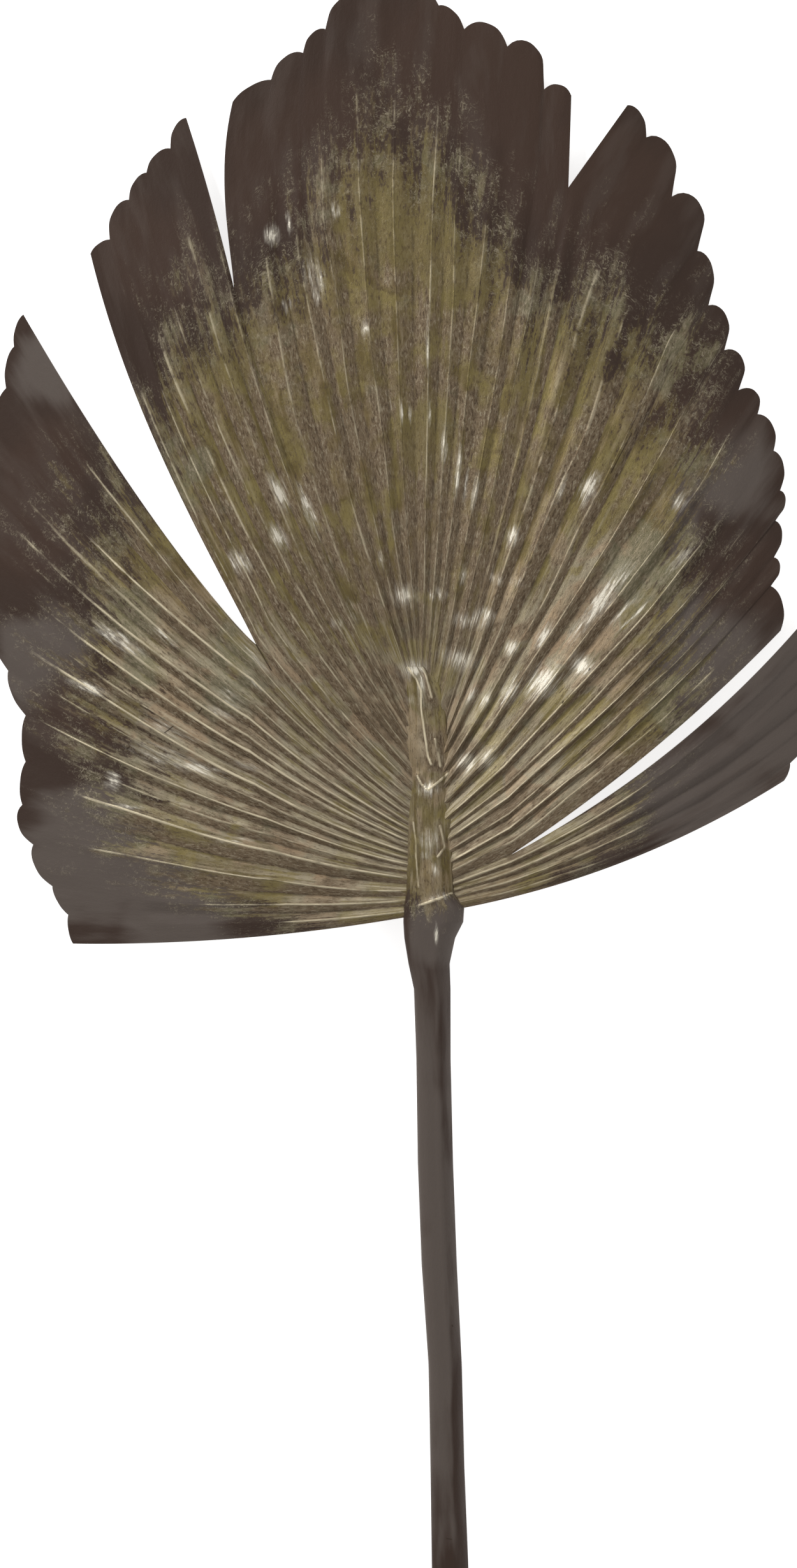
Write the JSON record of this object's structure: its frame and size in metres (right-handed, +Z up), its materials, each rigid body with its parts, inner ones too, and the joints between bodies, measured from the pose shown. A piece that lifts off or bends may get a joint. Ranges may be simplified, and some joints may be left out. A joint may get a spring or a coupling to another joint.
{
  "type": "fan palm leaf",
  "caption": "Dried fan palm leaf with a pleated, slit and scalloped blade and a long stalk, dark with a bronze-gold patina, lying face up as floral or room decoration.",
  "frame": {"origin": "under the middle of the leaf's box, on the surface that it lies on", "axes": "+Y from the cut end of the stalk to the tip of the blade, +X to the right as the upper face is seen, +Z up out of the upper face"},
  "size_m": [0.5481, 1.0562, 0.0362],
  "materials": {
    "bronzed_leaf": "dried leaf, dark umber with a worn golden-olive bronze patina and grey-green tints, satin"
  },
  "bodies": {
    "root": {"palm_leaf": "bronzed_leaf"}
  },
  "joints": []
}
